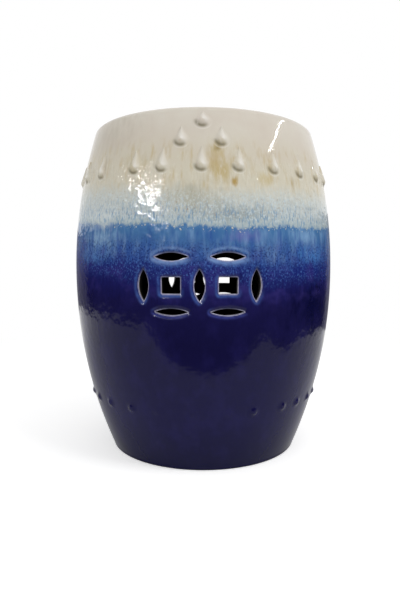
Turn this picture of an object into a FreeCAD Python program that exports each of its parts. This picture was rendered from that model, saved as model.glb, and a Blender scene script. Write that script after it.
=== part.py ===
import FreeCAD, Part
import Sketcher
import math
import os

# Ceramic garden stool: a hollow glazed barrel that stands on the XY plane with its front towards -Y.
# The two halves of the wall, the seat slab and the foot ring are separate pieces of clay, joined
# edge to edge with slip. The drops and studs are press-moulded and luted onto the wall.
# Lengths are in mm. Turns are degrees round Z from the front, counterclockwise seen from above.

os.makedirs("parts", exist_ok=True)
doc = FreeCAD.newDocument("GardenStool")

sizes = {
    # barrel
    "belly_radius": 177.5,
    "belly_height": 240.0,
    "side_arc": 606.0,
    "wall": 10.0,
    "foot_bevel": 2.0,
    # seat slab
    "seat_edge_height": 428.0,
    "slab_thickness": 12.0,
    "shoulder_round": 8.0,
    "crown_rise": 5.0,
    "crown_flat": 60.0,
    # foot ring
    "base_thickness": 12.0,
    "base_width": 26.0,
    # pierced double coin, with distances along the wall from the panel's middle, and the joint of the
    # wall's two halves below it
    "panel_height": 227.0,
    "joint_below": 62.0,
    "square_reach": 32.3,
    "square_width": 21.2,
    "square_rise": 18.3,
    "upright_reach": 65.5,
    "upright_length": 35.2,
    "upright_width": 12.0,
    "top_leaf_reach": 31.6,
    "top_leaf_length": 38.5,
    "top_leaf_width": 9.0,
    "low_leaf_reach": 29.3,
    "low_leaf_length": 38.0,
    "low_leaf_width": 7.3,
    "rim_bevel": 2.5,
    "rim_depth": 2.5,
    # drops on the shoulder: how far the foot of the bulb lies below the seat's edge, and their size
    "drop_below": 75.6,
    "drop_length": 28.1,
    "drop_radius": 7.6,
    "pair_below": 47.0,
    "pair_length": 22.5,
    "pair_radius": 7.4,
    "boss_below": 25.0,
    "boss_length": 18.0,
    "boss_radius": 8.0,
    "drop_proud": 4.2,
    # studs above the foot
    "stud_height": 78.0,
    "stud_radius": 5.8,
    "stud_proud": 2.6,
}

# Turns of what is set by hand: the ones on the front as they lie, and the rest of each ring even.
panel_turns = {"front": 0.0, "back": 179.5}
pair_turns = {"left": -7.6, "right": 8.7}
boss_turn = 1.1
front_drops = (-45.7, -26.6, -14.6, 0.7, 15.2, 30.3, 44.5, 58.2)
drop_count = 24
front_studs = (-59.3, -47.1, -32.3, -18.9, -1.9, 12.1, 23.7, 39.6, 50.4, 62.3, 74.9)
stud_count = 27

# A drop from its foot to its tip: share of its length, and share of its half width there.
drop_outline = ((0.0, 0.45), (0.12, 0.86), (0.3, 1.0), (0.5, 0.72), (0.75, 0.32), (1.0, 0.08))
# A stud from the wall outwards: share of how far it stands out, and share of its radius there.
stud_outline = ((0.0, 1.0), (0.6, 0.78), (1.0, 0.34))

drop_facets = 4
stud_facets = 8

# The wall's face is turned in bands, all on one arc, and its back in straight stretches.
lower_bands = 4
upper_bands = 3
lower_stretches = 2
upper_stretches = 3


class Size:
    """A length that is known both as a number and as an expression of the sheet's cells."""

    def __init__(self, number, text):
        self.number = number
        self.text = text

    def __add__(self, other):
        other = as_size(other)
        return Size(self.number + other.number, f"({self.text} + {other.text})")

    def __sub__(self, other):
        other = as_size(other)
        return Size(self.number - other.number, f"({self.text} - {other.text})")

    def __mul__(self, other):
        other = as_size(other)
        return Size(self.number * other.number, f"({self.text} * {other.text})")

    def __truediv__(self, other):
        other = as_size(other)
        return Size(self.number / other.number, f"({self.text} / {other.text})")

    def __neg__(self):
        return Size(-self.number, f"(-{self.text})")


def as_size(value):
    return value if isinstance(value, Size) else Size(float(value), str(float(value)))


def square_root(value):
    return Size(math.sqrt(value.number), f"sqrt({value.text})")


zero = as_size(0)


def make_sheet():
    sheet = doc.addObject("Spreadsheet::Sheet", "Sizes")
    for row, (name, number) in enumerate(sizes.items(), start=1):
        sheet.set(f"A{row}", name)
        sheet.set(f"B{row}", str(number))
        sheet.setAlias(f"B{row}", name)
    doc.recompute()
    return sheet


sheet = make_sheet()
cell = {name: Size(float(sheet.get(name)), f"Sizes.{name}") for name in sizes}


def side(height, depth=zero):
    """Radius of the wall at a height, that far in from its outer face."""
    reach = cell["side_arc"] - depth
    rise = height - cell["belly_height"]
    return cell["belly_radius"] - cell["side_arc"] + square_root(reach * reach - rise * rise)


def crown(radius):
    """Height of the seat's slope at a radius, from the flat middle out to the shoulder."""
    slope = cell["crown_rise"] / (side(cell["seat_edge_height"]) - cell["crown_flat"])
    return cell["seat_edge_height"] + (side(cell["seat_edge_height"]) - radius) * slope


def bind(thing, name, value):
    thing.setExpression(name, value.text)


def draw(sketch, corners, arcs=()):
    """A closed outline through the corners. The sides in arcs bulge to the right with these radii."""
    arcs = dict(arcs)
    points = [FreeCAD.Vector(x.number, y.number, 0) for x, y in corners]
    ends = []
    for i, here in enumerate(points):
        there = points[(i + 1) % len(points)]
        if i not in arcs:
            edge = sketch.addGeometry(Part.LineSegment(here, there), False)
            ends.append((edge, 1, 2))
            continue
        radius = arcs[i].number
        along = there - here
        across = FreeCAD.Vector(along.y, -along.x, 0).normalize()
        centre = (here + there) * 0.5 - across * math.sqrt(radius**2 - (along.Length / 2) ** 2)
        first = math.atan2(here.y - centre.y, here.x - centre.x)
        last = math.atan2(there.y - centre.y, there.x - centre.x)
        circle = Part.Circle(centre, FreeCAD.Vector(0, 0, 1), radius)
        edge = sketch.addGeometry(Part.ArcOfCircle(circle, first, last), False)
        ends.append((edge, 1, 2))
    for i, (edge, _, tail) in enumerate(ends):
        following, head, _ = ends[(i + 1) % len(ends)]
        sketch.addConstraint(Sketcher.Constraint("Coincident", edge, tail, following, head))
    for (edge, head, _), (x, y) in zip(ends, corners):
        for kind, value in (("DistanceX", x), ("DistanceY", y)):
            index = sketch.addConstraint(Sketcher.Constraint(kind, edge, head, value.number))
            bind(sketch, f"Constraints[{index}]", value)
    for i, radius in arcs.items():
        index = sketch.addConstraint(Sketcher.Constraint("Radius", ends[i][0], radius.number))
        bind(sketch, f"Constraints[{index}]", radius)


def turned_body(name, corners, arcs=()):
    """A body made by turning a profile round Z."""
    body = doc.addObject("PartDesign::Body", name)
    sketch = body.newObject("Sketcher::SketchObject", f"{name}_profile")
    plane = next(f for f in body.Origin.OriginFeatures if f.Role == "XZ_Plane")
    sketch.AttachmentSupport = [(plane, "")]
    sketch.MapMode = "FlatFace"
    draw(sketch, corners, arcs)
    turn = body.newObject("PartDesign::Revolution", f"{name}_turn")
    turn.Profile = sketch
    turn.ReferenceAxis = (sketch, ["V_Axis"])
    turn.Angle = 360
    sketch.Visibility = False
    doc.recompute()
    return body


wall = cell["wall"]
joint = cell["panel_height"] - cell["joint_below"]
rim = cell["seat_edge_height"] - cell["slab_thickness"]
belly_height = cell["belly_height"].number
belly_radius = cell["belly_radius"].number
side_arc = cell["side_arc"].number


def steps(low, high, count):
    """Heights from low to high in that many equal bands."""
    return [low + (high - low) * (i / count) for i in range(count)] + [high]


def make_lower_wall():
    """The foot's half of the wall: its face on the side arc, its back one wall in, its foot bevelled."""
    bevel = cell["foot_bevel"]
    foot = (side(zero) - bevel, zero)
    heights = steps(bevel, joint, lower_bands)
    outer = [foot] + [(side(height), height) for height in heights]
    inner = [(side(height, wall), height) for height in steps(zero, joint, lower_stretches)]
    arcs = {1 + i: cell["side_arc"] for i in range(lower_bands)}
    return turned_body("lower_wall", outer + inner[::-1], arcs)


def make_upper_shell():
    """The seat's half of the wall. Where the panels are pierced, three rows of it are turned straight."""
    middle = cell["panel_height"]
    squares = cell["upright_length"] * 0.5 + cell["rim_bevel"] * 2
    leaves = cell["top_leaf_reach"] + cell["top_leaf_width"] * 0.5 + cell["rim_bevel"] * 4
    rows = [middle - leaves, middle - squares, middle + squares, middle + leaves]
    heights = [joint] + rows[:-1] + steps(rows[-1], rim, upper_bands)
    outer = [(side(height), height) for height in heights]
    inner = [(side(height, wall), height) for height in steps(joint, rim, upper_stretches)]
    straight = range(1, len(rows))
    arcs = {i: cell["side_arc"] for i in range(len(heights) - 1) if i not in straight}
    return turned_body("upper_shell", outer + inner[::-1], arcs)


def make_seat_top():
    """A slab that lies on the wall's rim. Its shoulder is rounded off in two flats."""
    bend = cell["shoulder_round"]
    turn_height = cell["seat_edge_height"] - bend
    turn_radius = side(turn_height)
    middle = bend * math.cos(math.pi / 4)
    middle_height = turn_height + middle
    land = turn_radius - bend
    top = crown(cell["crown_flat"])
    corners = [
        (zero, rim),
        (side(rim), rim),
        (turn_radius, turn_height),
        (land + middle, middle_height),
        (land, crown(land)),
        (cell["crown_flat"], top),
        (zero, top),
    ]
    return turned_body("seat_top", corners)


def make_foot_ring():
    """A flat ring inside the foot, whose edge follows the straight stretch behind the wall."""
    thickness = cell["base_thickness"]
    stretch = joint / lower_stretches
    outer = side(zero, wall)
    hole = outer - cell["base_width"]
    spread = (side(stretch, wall) - outer) / stretch * thickness
    corners = [
        (hole, zero),
        (outer, zero),
        (outer + spread, thickness),
        (hole, thickness),
    ]
    return turned_body("foot_ring", corners)


def leaf(length, width, growth):
    """A pointed leaf along the sketch's x, which is what two circles share, grown by so much all round."""
    half = length / 2
    rise = width / 2
    radius = (half * half + rise * rise) / width
    offset = radius - rise
    grown = radius + growth
    tip = square_root(grown * grown - offset * offset)
    return [(-tip, zero), (tip, zero)], {0: grown, 1: grown}


def upright_leaf(length, width, growth):
    corners, arcs = leaf(length, width, growth)
    return [(-y, x) for x, y in corners], arcs


def four_sided(length, width, growth):
    half = length / 2 + growth
    rise = width / 2 + growth
    return [(-half, -rise), (half, -rise), (half, rise), (-half, rise)], {}


def outline_sketch(name, height, corners, arcs):
    sketch = doc.addObject("Sketcher::SketchObject", name)
    draw(sketch, corners, arcs)
    bind(sketch, "Placement.Base.z", height)
    sketch.Visibility = False
    return sketch


def make_cutter(name, outline, length, width):
    """A straight hole along Z with the wall's face at z = 0, and a mouth that flares outwards."""
    depth = cell["rim_depth"]
    hole = doc.addObject("Part::Extrusion", f"{name}_hole")
    hole.Base = outline_sketch(f"{name}_hole_outline", -depth, *outline(length, width, zero))
    hole.Dir = FreeCAD.Vector(0, 0, 1)
    hole.Solid = True
    bind(hole, "LengthFwd", depth)
    bind(hole, "LengthRev", wall * 2)
    mouth = doc.addObject("Part::Loft", f"{name}_mouth")
    mouth.Sections = [
        outline_sketch(f"{name}_throat", -depth, *outline(length, width, zero)),
        outline_sketch(f"{name}_lip", depth, *outline(length, width, cell["rim_bevel"] * 2)),
    ]
    mouth.Solid = True
    mouth.Ruled = True
    cutter = doc.addObject("Part::Fuse", name)
    cutter.Base = hole
    cutter.Tool = mouth
    doc.recompute()
    return cutter


def on_wall(shape, height, turn, tilted=True):
    """A copy of a form that faces +Z, set on the wall's face at that height and turn."""
    lean = 0.0
    distance = belly_radius
    if tilted:
        lean = math.degrees(math.asin((height - belly_height) / side_arc))
        distance = side(as_size(height)).number
    copy = shape.copy()
    copy.rotate(FreeCAD.Vector(), FreeCAD.Vector(1, 0, 0), 90 - lean)
    copy.translate(FreeCAD.Vector(0, -distance, height))
    copy.rotate(FreeCAD.Vector(), FreeCAD.Vector(0, 0, 1), turn)
    return copy


def turn_of(reach):
    """The turn that takes one that far along the wall at the belly."""
    return math.degrees(cell[reach].number / belly_radius)


def make_panel_cutters():
    """Both pierced panels: two coins side by side, each a square hole among four leaves."""
    square = make_cutter("square", four_sided, cell["square_width"], cell["square_rise"])
    upright = make_cutter("upright", upright_leaf, cell["upright_length"], cell["upright_width"])
    top_leaf = make_cutter("top_leaf", leaf, cell["top_leaf_length"], cell["top_leaf_width"])
    low_leaf = make_cutter("low_leaf", leaf, cell["low_leaf_length"], cell["low_leaf_width"])
    middle = cell["panel_height"].number
    top = middle + cell["top_leaf_reach"].number
    low = middle - cell["low_leaf_reach"].number
    coin = turn_of("square_reach")
    outer = turn_of("upright_reach")
    holes = []
    for panel in panel_turns.values():
        for turn in (-coin, coin):
            holes.append((square, middle, panel + turn))
            holes.append((top_leaf, top, panel + turn))
            holes.append((low_leaf, low, panel + turn))
        for turn in (-outer, 0, outer):
            holes.append((upright, middle, panel + turn))
    cutters = doc.addObject("Part::Feature", "panel_cutters")
    cutters.Shape = Part.makeCompound(
        [on_wall(hole.Shape, height, turn, tilted=False) for hole, height, turn in holes]
    )
    return cutters


def make_upper_wall():
    result = doc.addObject("Part::Cut", "upper_wall")
    result.Base = make_upper_shell()
    result.Tool = make_panel_cutters()
    doc.recompute()
    return result


def faceted(name, rings):
    """A solid with flat facets through rings of corners, each ring level and as many corners as the next."""
    faces = [Part.Face(Part.makePolygon(list(reversed(rings[0])) + [rings[0][-1]]))]
    faces.append(Part.Face(Part.makePolygon(rings[-1] + [rings[-1][0]])))
    for below, above in zip(rings, rings[1:]):
        for i in range(len(below)):
            k = (i + 1) % len(below)
            outline = [below[i], below[k], above[k], above[i], below[i]]
            faces.append(Part.Face(Part.makePolygon(outline)))
    form = doc.addObject("Part::Feature", name)
    form.Shape = Part.Solid(Part.Shell(faces))
    return form


def make_drop(kind):
    """A teardrop with a flat back at z = 0, its tip up along y and its middle over the origin."""
    length = cell[f"{kind}_length"].number
    radius = cell[f"{kind}_radius"].number
    proud = cell["drop_proud"].number
    rings = []
    for along, share in drop_outline:
        y = length * (along - 0.5)
        angles = [math.pi * i / drop_facets for i in range(drop_facets + 1)]
        rings.append(
            [
                FreeCAD.Vector(-radius * share * math.cos(a), y, proud * share * math.sin(a))
                for a in angles
            ]
        )
    return faceted(f"{kind}_form", rings)


def make_stud():
    """A low round stud with a flat back at z = 0."""
    radius = cell["stud_radius"].number
    proud = cell["stud_proud"].number
    rings = []
    for along, share in stud_outline:
        angles = [2 * math.pi * i / stud_facets for i in range(stud_facets)]
        rings.append(
            [
                FreeCAD.Vector(radius * share * math.cos(a), radius * share * math.sin(a), proud * along)
                for a in angles
            ]
        )
    return faceted("stud_form", rings)


def whole_ring(front, count):
    """The turns on the front, and the rest of the ring evenly spaced from the last round to the first."""
    rest = count - len(front)
    step = (360 + front[0] - front[-1]) / (rest + 1)
    return list(front) + [front[-1] + step * i for i in range(1, rest + 1)]


def luted(name, shapes):
    """A node of pieces that are luted onto the wall."""
    feature = doc.addObject("Part::Feature", name)
    feature.Shape = shapes[0] if len(shapes) == 1 else Part.makeCompound(shapes)
    return feature


def drop_on_wall(name, kind, turn):
    middle = cell["seat_edge_height"] - cell[f"{kind}_below"] + cell[f"{kind}_length"] / 2
    return luted(name, [on_wall(drop_forms[kind].Shape, middle.number, turn)])


drop_forms = {kind: make_drop(kind) for kind in ("drop", "pair", "boss")}
stud_form = make_stud()

nodes = {
    "lower_wall": make_lower_wall(),
    "upper_wall": make_upper_wall(),
    "seat_top": make_seat_top(),
    "foot_ring": make_foot_ring(),
}
for number, turn in enumerate(whole_ring(front_drops, drop_count), start=1):
    name = f"ring_drop_{number:02d}"
    nodes[name] = drop_on_wall(name, "drop", turn)
for panel, panel_turn in panel_turns.items():
    for hand, turn in pair_turns.items():
        name = f"pair_drop_{panel}_{hand}"
        nodes[name] = drop_on_wall(name, "pair", panel_turn + turn)
    name = f"crown_boss_{panel}"
    nodes[name] = drop_on_wall(name, "boss", panel_turn + boss_turn)
stud_turns = whole_ring(front_studs, stud_count)
stud_height = cell["stud_height"].number
nodes["lower_studs"] = luted(
    "lower_studs", [on_wall(stud_form.Shape, stud_height, turn) for turn in stud_turns]
)

doc.recompute()
for thing in doc.Objects:
    if "Invalid" in thing.State or "Error" in thing.State:
        raise RuntimeError(f"{thing.Name} failed: {thing.State}")
for name, node in nodes.items():
    node.Label = name
    if node.Shape.isNull() or not node.Shape.isValid():
        raise RuntimeError(f"{name} has no sound shape")
for name, node in nodes.items():
    node.Shape.exportStep(f"parts/{name}.step")
    print(f"{name}: {len(node.Shape.Solids)} solids, {node.Shape.Volume / 1000:.1f} cm3")
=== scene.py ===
import bpy
import bmesh
import math
import random
import numpy as np
from mathutils import Matrix, Vector, noise


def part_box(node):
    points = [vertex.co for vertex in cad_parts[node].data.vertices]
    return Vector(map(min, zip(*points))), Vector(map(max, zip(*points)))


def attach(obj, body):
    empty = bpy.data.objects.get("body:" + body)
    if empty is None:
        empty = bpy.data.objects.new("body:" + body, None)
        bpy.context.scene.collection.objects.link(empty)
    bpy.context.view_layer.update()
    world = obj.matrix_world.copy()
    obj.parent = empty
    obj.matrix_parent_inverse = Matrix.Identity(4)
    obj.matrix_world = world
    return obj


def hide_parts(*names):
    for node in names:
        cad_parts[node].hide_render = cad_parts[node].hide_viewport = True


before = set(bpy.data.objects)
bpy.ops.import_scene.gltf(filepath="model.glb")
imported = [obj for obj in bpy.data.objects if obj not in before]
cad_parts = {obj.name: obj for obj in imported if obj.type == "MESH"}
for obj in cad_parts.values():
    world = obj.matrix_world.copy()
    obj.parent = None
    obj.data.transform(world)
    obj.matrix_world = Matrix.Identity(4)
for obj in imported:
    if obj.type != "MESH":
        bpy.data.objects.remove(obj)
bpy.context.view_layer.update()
bpy.ops.object.select_all(action="DESELECT")
random.seed(7)
print("frame loaded")

# A glazed stoneware garden stool. Lengths are in metres, turns in degrees round Z from the front.

camera = {
    "distance": 0.7115, "height": 0.2491, "turn": 1.4, "pitch": 4.02,
    "focalPixels": 493.0, "longSide": 600, "shiftPixels": -3.42,
    "sensor": 36,           # in mm
}

# The barrel's own shape, read off the frame where it can be
barrel = {
    "bellyRadius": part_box("upper_wall")[1].x, "bellyHeight": 0.240, "sideArc": 0.606, "wall": 0.010,
    "high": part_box("seat_top")[1].z, "crownRise": 0.005, "shoulderRound": 0.009, "slab": 0.012,
    "footRound": 0.003,
    # faces round it, their height up the side, and how many make up the rest of the outline
    "segments": 360, "rowStep": 0.0031,
    "shoulderSteps": 12, "crownSteps": 24, "slabSteps": 8, "insideSteps": 21,
    # it waves inwards, so that the CAD's box holds it, and evens out near the foot and this height
    "wobble": 0.0003, "wobbleSize": 0.12, "wobbleIn": 0.6, "wobbleTop": 0.43, "wobbleFade": 0.03,
    # the rim isn't quite level: its slope to the right and to the back, which sets in at this height
    "tilt": (-0.006, 0.006), "tiltFrom": 0.30,
    "axisClear": 0.02,      # nothing nearer the axis than this is moved
    # clay is bare further in than this share of the wall's thickness, up to this much above the slab's
    # underside, and on the face that stands on the floor, which is lower than this
    "innerFrom": 0.55, "slabSlack": 0.001, "footFace": 0.0001,
    "mergeGap": 0.00002, "smoothAngle": 42,
}
barrel["seatEdge"] = barrel["high"] - barrel["crownRise"]

# Two pierced double coins. Reaches are along the wall from the panel's middle.
panels = {
    "turns": (0.0, 179.5), "height": 0.2270,
    "squareReach": 0.0323, "squareWidth": 0.0212, "squareRise": 0.0183, "squareCorner": 0.0012,
    "uprightReach": 0.0655, "uprightLength": 0.0352, "uprightWidth": 0.012,
    "topReach": 0.0316, "topLength": 0.0385, "topWidth": 0.009,
    "lowReach": 0.0293, "lowLength": 0.0380, "lowWidth": 0.0073,
    "cornerSteps": 4, "leafSteps": 24,
    "cutterStart": 0.015, "cutterDepth": 0.05,      # it starts this far outside the belly
    # the lips are sunk this deep, from this far out, and the slope runs on a little into the hole
    "rimDepth": 0.0028, "rimWidth": 0.0065, "rimOver": 1.15,
    # the faces are finer this far round from a panel's middle, in degrees, and up and down from it
    "spread": 27.0, "reach": 0.046, "finerCuts": 2,
    # an opening further round than this, in radians, counts as this far away
    "nearSide": 1.2, "farAway": 1.0,
    # how a point's direction from an opening counts as below it, above it or left of it
    "below": (1.4, 0.2), "above": (1.6, 0.6), "left": (1.6, 0.5),
    # bands of lighter glaze on a lip: how far out, how wide and how strong. Those below and to the left are
    # thin glaze with painted light where the lips face the light, and the one above is a painted highlight.
    # The one below is wider over this height, the one above is over the top leaves alone, and every upper
    # edge gets painted shade.
    "thinAndPaintedLightBelow": 0.0024, "thinAndPaintedLightWidths": (0.0018, 0.0030), "widerFrom": 0.245,
    "thinAndPaintedLightLeft": (0.0034, 0.0014, 0.8), "paintedHighlightAbove": (0.0050, 0.0016, 0.7), "paintedShadeAbove": 0.0026,
    # how wide the bare clay shows along a cut, and how much of it is dimmed above an opening by painted
    # shade
    "cutEdge": 0.0008, "cutFull": 1.6, "cutInShade": 0.8,
    # a face is the inside of a cut where it is this deep, between these heights and edge on to the wall
    "cutFrom": 0.0025, "cutZone": (0.17, 0.28), "cutFacing": 0.4,
}


def sideRadius(height, depth=0.0):
    arc = barrel["sideArc"] - depth
    rise = height - barrel["bellyHeight"]
    return barrel["bellyRadius"] - barrel["sideArc"] + math.sqrt(arc * arc - rise * rise)


def skinRadius(height):     # the same, for a height that may lie beyond the foot or the seat's edge
    return sideRadius(min(max(height, 0), barrel["seatEdge"]))


def sideLean(height):       # how far the wall leans back from upright, in radians
    return math.asin((height - barrel["bellyHeight"]) / barrel["sideArc"])


def turnOf(place):          # in degrees, as every turn
    return math.degrees(math.atan2(place.x, -place.y))


def signedTurn(turn):       # between -180 and 180
    return (turn + 180) % 360 - 180


def makeCamera():
    turn = math.radians(camera["turn"])
    away = camera["distance"]
    bpy.ops.object.camera_add(
        location=(away * math.sin(turn), -away * math.cos(turn), camera["height"]),
        rotation=(math.radians(90 - camera["pitch"]), 0, turn),
    )
    eye = bpy.context.object
    eye.name = "photographCamera"
    eye.data.sensor_width = camera["sensor"]
    eye.data.lens = camera["focalPixels"] * camera["sensor"] / camera["longSide"]
    eye.data.shift_x = camera["shiftPixels"] / camera["longSide"]
    bpy.context.scene.camera = eye


makeCamera()
print("camera made")


# Colours, and the one function that adds a node

def linear(code):
    parts = [int(code[i:i + 2], 16) / 255 for i in (1, 3, 5)]
    return tuple(p / 12.92 if p <= 0.04045 else ((p + 0.055) / 1.055) ** 2.4 for p in parts) + (1.0,)


# Sockets take a link, a number or a hex colour, and stops are a colour ramp's, in order
def addNode(tree, kind, sockets, stops=(), **settings):
    made = tree.nodes.new(kind)
    for name, value in settings.items():
        setattr(made, name, value)
    for name, value in sockets.items():
        if isinstance(value, bpy.types.NodeSocket):
            tree.links.new(value, made.inputs[name])
        else:
            made.inputs[name].default_value = linear(value) if isinstance(value, str) else value
    for place, code in stops:
        ramp = made.color_ramp.elements
        ends = {stops[0][0]: 0, stops[-1][0]: -1}
        stop = ramp[ends[place]] if place in ends else ramp.new(place)
        stop.position = place
        stop.color = linear(code)
    return made.outputs


def newMaterial(name):
    made = bpy.data.materials.new(name)
    made.use_nodes = True
    made.node_tree.nodes.clear()
    return made, made.node_tree


# Reactive glazes on stoneware. Cream is poured over cobalt: it covers the shoulder, thins to a
# grey-blue band, breaks in beads at a ragged line, and the cobalt under it runs from mid blue to indigo.
# Fired glaze is a skin of glass, so it is clear and glossy, and wavy where it has run.
glaze = {
    # height up the wall in mm, pushed about by the sways below, and the glaze's colour there
    "bands": (
        (15, "#0d0c36"), (70, "#14123f"), (160, "#131139"), (205, "#161441"), (226, "#1a1b56"),
        (246, "#233173"), (262, "#35538f"), (276, "#3f6598"), (292.4, "#4975a3"), (295.6, "#a9b6b9"),
        (306, "#b3bcbd"), (324, "#c0c4be"), (342, "#cac4b2"), (372, "#c9c2b0"), (400, "#cdc6b9"),
        (430, "#d1cbc0"),
    ),
    # how the bands are pushed up and down: grain width and length along the wall, and reach, in mm
    "sways": ((110, 110, 12), (16, 60, 11), (4.5, 30, 8), (2.2, 5, 5)),
    # grains that fray the bands, though not at the line between cream and blue: they set in between
    # these distances from it
    "fray": (2.2, 7, 26), "frayZone": (3, 40), "line": 294,
    # the bands run higher at the sides, in mm per square metre, lower to the right, in mm per metre,
    # and this much lower all over
    "rise": 384, "slope": 31, "lower": 2.5,
    # a cloud's ragged edge: its grains, how far they push it, and where it fades out and is full
    "cloudGrain": (6, 18), "cloudPush": 1.6, "cloudEdge": (0.3, -0.8),
    # on the lips of the openings it thins to a lighter blue, the lighter the higher up, with painted light
    # where the lips face the light
    "lipZone": (196, 262), "lipAmount": 0.9,
    "lipTones": ((0.0, "#363d7e"), (0.30, "#3d5593"), (0.66, "#4060a0"), (1.0, "#7e9cc8")),
    # the dark lip colour is painted shade along the openings' upper edges
    "paintedShadeLip": "#161c3c", "paintedShadeLipAmount": 0.8, "cutTone": "#bcbad0", "cutAmount": 0.95,
    # grains in mm that break up the lips and the cuts, how much they leave, and their own levels
    "lipGrain": 7, "lipLeft": 0.45, "cutGrain": 5, "cutLeft": 0.5, "brokenZone": (0.3, 0.6),
    # pale on the raised drops, where the glaze is thin and a highlight is painted on their upper right, and
    # darker under them, where glaze pools and shade is painted at their lower left, from this height up
    "proudTone": "#e8e6e1", "proudAmount": 0.7, "poolTone": "#777059", "poolAmount": 0.85,
    "proudZone": (300, 320),
    # its surface: grain width and length in mm, detail, and height in metres. Where it has run the
    # pits are this many times as deep, and calm says how strong the relief is from foot to seat.
    "waves": (8, 8, 0.8, 0.0013), "drips": (5, 20, 1.0, 0.0004), "pits": (2.2, 2.2, 1.0, 0.000006),
    "pitsInRuns": 9,
    "calm": (
        (0.0, "#303030"), (0.36, "#808080"), (0.56, "#bcbcbc"), (0.79, "#ffffff"), (0.86, "#484848"),
        (1.0, "#303030"),
    ),
    # a fired glaze is typically 1.5, lowered here until its gloss is as faint as the photograph's;
    # it is hazier where it is deep, below the panel, than above
    "ior": 1.28, "roughness": (0.13, 0.05), "hazeZone": (200, 262),
    # each pattern's own place in the noise
    "seeds": {"sways": 1, "fray": 9, "layers": 20, "lips": 50, "cuts": 51, "clouds": 60,
              "waves": 70, "pits": 71, "drips": 72},
}

# What lies over the bands: colour, amount, grain width and length in mm, how high its grains start to
# show and are full, and between which heights in mm the layer sets in and then ends
glazeLayers = (
    ("warm clouds", "#c6baad", 0.5, (48, 36), (0.40, 0.72), (352, 380), (440, 450)),
    ("ochre runs", "#b7a272", 0.55, (6, 44), (0.51, 0.73), (322, 346), (376, 396)),
    ("pale threads", "#d8d5ca", 0.45, (3, 14), (0.54, 0.72), (300, 316), (352, 384)),
    ("pale crystals", "#c8d4d8", 0.6, (2.0, 3.0), (0.50, 0.62), (296, 300), (322, 340)),
    ("blue bleed", "#658db0", 0.72, (1.9, 8), (0.50, 0.63), (293, 295), (302, 332)),
    ("tan specks", "#a08a76", 0.6, (2.2, 2.4), (0.61, 0.70), (298, 306), (326, 340)),
    ("cream beads", "#d6d1b4", 0.8, (2.3, 2.3), (0.60, 0.67), (288, 291), (294, 297)),
    ("pale runs in the blue", "#84a6cb", 0.45, (9, 40), (0.47, 0.70), (250, 264), (288, 293)),
    ("deep runs in the blue", "#2b4c93", 0.55, (6, 36), (0.50, 0.68), (238, 256), (288, 294)),
    ("plum clouds", "#3f367c", 0.4, (26, 20), (0.48, 0.68), (196, 226), (264, 284)),
    ("indigo speckle", "#171956", 0.72, (2.0, 2.6), (0.50, 0.62), (220, 240), (262, 284)),
    ("blue speckle", "#4a70b2", 0.55, (2.0, 2.4), (0.54, 0.64), (222, 244), (268, 290)),
    ("dim clouds in the indigo", "#1f1c52", 0.35, (20, 30), (0.46, 0.66), (0, 40), (206, 232)),
)

# Single clouds in the glaze: colour, amount, turn, height in mm, and reach across and up in mm
glazeClouds = (
    ("ochre between the drops", "#b29d68", 0.9, 6, 366, (13, 28)),
    ("ochre between the drops", "#b5a16d", 0.8, 9, 352, (16, 18)),
    ("ochre pool under a drop", "#a98d4c", 0.9, 13, 341, (6, 8)),
    ("ochre pool under a drop", "#8f8056", 0.8, 7, 378, (5, 5)),
    ("ochre by the left drops", "#b8aa85", 0.5, -27, 362, (24, 16)),
    ("brown run", "#9c8766", 0.6, -44, 362, (5, 18)),
    ("ochre by the right drops", "#bfae80", 0.6, 26, 344, (16, 10)),
    ("brown run", "#a08c64", 0.6, 39, 344, (5, 12)),
    ("bluer band", "#8f9898", 0.7, 12, 306, (60, 14)),
    ("grey in the middle", "#a5a290", 0.65, -3, 322, (48, 22)),
    ("deep pool on the right", "#07092f", 0.9, 50, 203, (56, 40)),
    ("mauve cloud", "#6d6cab", 0.6, 17, 281, (26, 10)),
    ("pale cloud", "#8eaeca", 0.7, -42, 281, (46, 14)),
    ("pale cloud", "#84a9cc", 0.65, 44, 282, (34, 13)),
    ("blue hanging lower", "#5a84ba", 0.75, -46, 262, (42, 14)),
    ("blue hanging lower", "#4a82c2", 0.8, 50, 263, (42, 14)),
    ("clear blue under it", "#152470", 0.7, 46, 243, (42, 13)),
    ("paler band on the left", "#cbd2d1", 0.75, -42, 306, (46, 18)),
    ("deep pool", "#335c98", 0.55, 3, 284, (20, 10)),
    # painted shade that darkens the left shoulder
    ("painted shade on the left shoulder", "#b9b1a2", 0.6, -46, 402, (64, 32)),
    ("purple between the openings", "#2e2a70", 0.5, 0, 236, (60, 16)),
)


# Lays a colour over what is there, as far as the mask and the amount let it show
def layOver(tree, under, mask, amount, colour, label):
    share = addNode(tree, "ShaderNodeMath", {0: mask, 1: amount}, operation="MULTIPLY")[0]
    return addNode(
        tree, "ShaderNodeMix", {0: share, 6: under, 7: colour}, data_type="RGBA", label=label)[2]


# Grains that wide and long, in mm, drawn out up the wall
def grainOf(tree, place, width, length, seed, detail=2.5):
    fineness = (1000 / width, 1000 / width, 1000 / length)
    spot = addNode(tree, "ShaderNodeMapping", {
        "Vector": place, "Scale": fineness, "Location": (seed * 3.7, seed, 0)})[0]
    return addNode(tree, "ShaderNodeTexNoise", {
        "Vector": spot, "Scale": 1.0, "Detail": detail, "Roughness": 0.6})[0]


# Pushes a value up and down by such grains, as far as the reach says
def swayedBy(tree, value, place, width, length, reach, seed):
    grain = grainOf(tree, place, width, length, seed)
    centred = addNode(tree, "ShaderNodeMath", {0: grain, 1: 0.5}, operation="SUBTRACT")[0]
    return addNode(tree, "ShaderNodeMath", {0: centred, 1: reach, 2: value}, operation="MULTIPLY_ADD")[0]


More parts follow.
